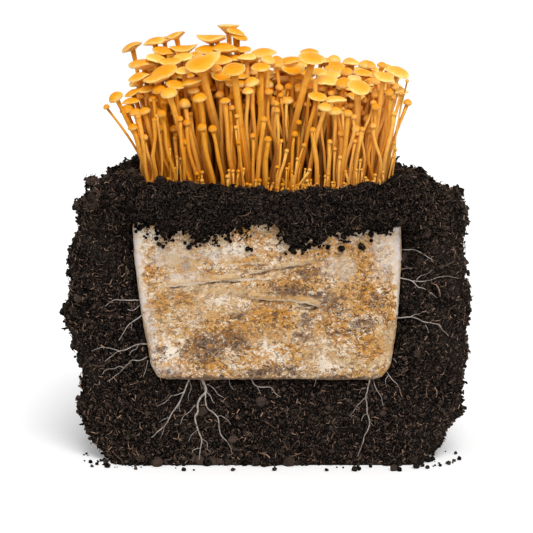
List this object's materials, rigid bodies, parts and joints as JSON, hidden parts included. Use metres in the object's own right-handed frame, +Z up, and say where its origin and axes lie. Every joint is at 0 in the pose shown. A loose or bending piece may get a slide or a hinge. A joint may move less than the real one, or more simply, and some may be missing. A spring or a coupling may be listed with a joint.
{
  "type": "enoki mushroom grow kit",
  "caption": "Cut-away bed of dark soil holding a pale mycelium block with a dense cluster of golden enoki mushrooms growing from its top.",
  "frame": {"origin": "middle of the soil's flat underside, below the middle of the block's width", "axes": "+Z up, front towards -Y where the block shows, +X to the right seen from the front"},
  "size_m": [0.304, 0.1661, 0.3263],
  "materials": {
    "soil": "crumbly dark soil",
    "mycelium_block": "mottled mycelium and sawdust under a thin skin",
    "mushroom_flesh": "moist golden flesh",
    "mycelium_strand": "white fungal threads"
  },
  "bodies": {
    "root": {"soil": "soil", "substrate_block": "mycelium_block", "mushroom_01": "mushroom_flesh", "mushroom_02": "mushroom_flesh", "mushroom_03": "mushroom_flesh", "mushroom_04": "mushroom_flesh", "mushroom_05": "mushroom_flesh", "mushroom_06": "mushroom_flesh", "mushroom_07": "mushroom_flesh", "mushroom_08": "mushroom_flesh", "mushroom_09": "mushroom_flesh", "mushroom_10": "mushroom_flesh", "mushroom_11": "mushroom_flesh", "mushroom_12": "mushroom_flesh", "mushroom_13": "mushroom_flesh", "mushroom_14": "mushroom_flesh", "mushroom_15": "mushroom_flesh", "mushroom_16": "mushroom_flesh", "mushroom_17": "mushroom_flesh", "mushroom_18": "mushroom_flesh", "mushroom_19": "mushroom_flesh", "mushroom_20": "mushroom_flesh", "mushroom_21": "mushroom_flesh", "mushroom_22": "mushroom_flesh", "mushroom_23": "mushroom_flesh", "mushroom_24": "mushroom_flesh", "mushroom_25": "mushroom_flesh", "mushroom_26": "mushroom_flesh", "mushroom_27": "mushroom_flesh", "mushroom_28": "mushroom_flesh", "mushroom_29": "mushroom_flesh", "mushroom_30": "mushroom_flesh", "mushroom_31": "mushroom_flesh", "mushroom_32": "mushroom_flesh", "mushroom_33": "mushroom_flesh", "mushroom_34": "mushroom_flesh", "mushroom_35": "mushroom_flesh", "mushroom_36": "mushroom_flesh", "mushroom_37": "mushroom_flesh", "mushroom_38": "mushroom_flesh", "mushroom_39": "mushroom_flesh", "mushroom_40": "mushroom_flesh", "mushroom_41": "mushroom_flesh", "mushroom_42": "mushroom_flesh", "mushroom_43": "mushroom_flesh", "mushroom_44": "mushroom_flesh", "mushroom_45": "mushroom_flesh", "strand_left_top": "mycelium_strand", "strand_left_upper": "mycelium_strand", "strand_left_middle": "mycelium_strand", "strand_left_lower": "mycelium_strand", "strand_bottom_left": "mycelium_strand", "strand_bottom_main": "mycelium_strand", "strand_bottom_fork": "mycelium_strand", "strand_bottom_middle": "mycelium_strand", "strand_bottom_right": "mycelium_strand", "strand_right_upper": "mycelium_strand", "strand_right_middle": "mycelium_strand", "strand_right_fork": "mycelium_strand", "strand_right_lower": "mycelium_strand"}
  },
  "joints": []
}
